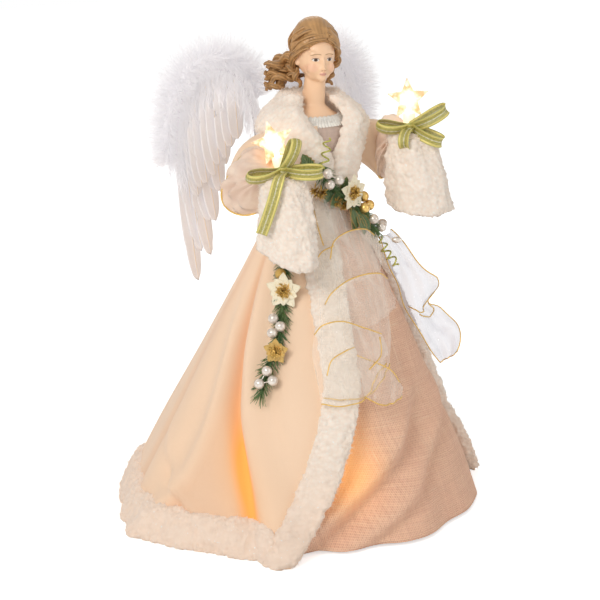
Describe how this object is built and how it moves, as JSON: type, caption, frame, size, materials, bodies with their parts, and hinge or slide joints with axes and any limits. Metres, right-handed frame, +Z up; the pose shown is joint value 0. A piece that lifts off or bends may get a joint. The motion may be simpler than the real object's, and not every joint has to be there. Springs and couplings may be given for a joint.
{
  "type": "angel tree topper",
  "caption": "Angel tree topper on an open cone: linen skirt under a pile-trimmed robe, feather wings that swing on pins, candles with lift-off stars, and a beaded garland.",
  "frame": {"origin": "centre of the cone's open mouth, on the plane of its rim, which is the plane it stands on", "axes": "+Z up, along the tree's tip; -Y the way the figure faces; +X to the figure's left hand"},
  "size_m": [0.3334, 0.3015, 0.406],
  "materials": {
    "cone_shell": "moulded ivory shell, satin",
    "lead": "clear-ivory insulated lead",
    "form": "pressed body form, matt",
    "wire": "drawn steel wire and pressed plate",
    "painted_resin": "cast resin, hand painted skin tone, satin",
    "hair_resin": "cast resin, painted and washed hair",
    "taupe_cloth": "plain taupe cloth",
    "lace": "cream lace edging",
    "rose_linen": "open plain weave, dusty rose",
    "ivory_cloth": "smooth heavy cloth, ivory",
    "sherpa": "curled pile trimming",
    "candle_ivory": "ivory tube, satin",
    "lamp_glass": "clear small lamp, warm when lit",
    "star_clear": "clear moulded cap",
    "ribbon": "sheer green ribbon with gold edges",
    "feather": "trimmed goose feathers, white",
    "down": "marabou down, white",
    "pine": "cut green needles on twisted wire",
    "leaf_cloth": "green leaf with bronze edge",
    "leaf_wire": "gold-green covered wire",
    "pearl": "pearl lacquer",
    "gold_paint": "gold lacquer and glitter",
    "petal_cloth": "cream petals, gold centre",
    "gold_petal": "gold glitter petals",
    "organza": "sheer organza with gold thread edge"
  },
  "bodies": {
    "figure": {"tree_cone": "cone_shell", "cone_cap": "cone_shell", "light_wire": "lead", "skirt_lamp_1": "lamp_glass", "skirt_lamp_2": "lamp_glass", "skirt_lamp_3": "lamp_glass", "skirt_lamp_4": "lamp_glass", "torso_form": "form", "arm_wire": "wire", "head_bust": "painted_resin", "hair": "hair_resin", "bodice": "taupe_cloth", "neckline_lace": "lace", "underskirt": "rose_linen", "robe": "ivory_cloth", "hem_fur": "sherpa", "front_fur_right": "sherpa", "front_fur_left": "sherpa", "fur_collar": "sherpa", "sleeve_right": "ivory_cloth", "cuff_right": "sherpa", "hand_right": "painted_resin", "candle_right": "candle_ivory", "lamp_holder_right": "cone_shell", "bow_right": "ribbon", "sleeve_left": "ivory_cloth", "cuff_left": "sherpa", "hand_left": "painted_resin", "candle_left": "candle_ivory", "lamp_holder_left": "cone_shell", "bow_left": "ribbon", "wing_bracket": "wire", "garland_waist_stem": "pine", "garland_drop_stem": "pine", "pearls_waist": "pearl", "pearls_side": "pearl", "pearls_drop_upper": "pearl", "pearls_drop_lower": "pearl", "gold_berries_waist": "gold_paint", "gold_ball_drop": "gold_paint", "flower_waist": "petal_cloth", "flower_drop_upper": "petal_cloth", "flower_drop_lower": "gold_petal", "leaves_waist": "leaf_cloth", "tendril_top": "leaf_wire", "tendril_side": "leaf_wire", "organza_front": "organza", "organza_side": "organza"},
    "bulb_right": {"bulb_right": "lamp_glass"},
    "star_right": {"star_right": "star_clear"},
    "bulb_left": {"bulb_left": "lamp_glass"},
    "star_left": {"star_left": "star_clear"},
    "wing_right": {"wing_frame_right": "wire", "quills_right": "feather", "coverts_right": "feather", "marabou_right": "down"},
    "wing_left": {"wing_frame_left": "wire", "quills_left": "feather", "coverts_left": "feather", "marabou_left": "down"}
  },
  "joints": [
    {"name": "bulb_right_pull", "type": "slide", "parent": "figure", "child": "bulb_right", "axis": [-0.2248, 0.1869, 0.9563], "range_m": [0, 0.012]},
    {"name": "star_right_lift", "type": "slide", "parent": "bulb_right", "child": "star_right", "axis": [-0.2248, 0.1869, 0.9563], "range_m": [0, 0.02]},
    {"name": "bulb_left_pull", "type": "slide", "parent": "figure", "child": "bulb_left", "axis": [-0.0536, 0.0446, 0.9976], "range_m": [0, 0.012]},
    {"name": "star_left_lift", "type": "slide", "parent": "bulb_left", "child": "star_left", "axis": [-0.0536, 0.0446, 0.9976], "range_m": [0, 0.02]},
    {"name": "wing_right_swing", "type": "hinge", "parent": "figure", "child": "wing_right", "pos_m": [-0.012, 0.04, 0.3], "axis": [0, 0, 1], "range_deg": [-25, 10]},
    {"name": "wing_left_swing", "type": "hinge", "parent": "figure", "child": "wing_left", "pos_m": [0.012, 0.04, 0.3], "axis": [0, 0, 1], "range_deg": [-10, 25]}
  ]
}
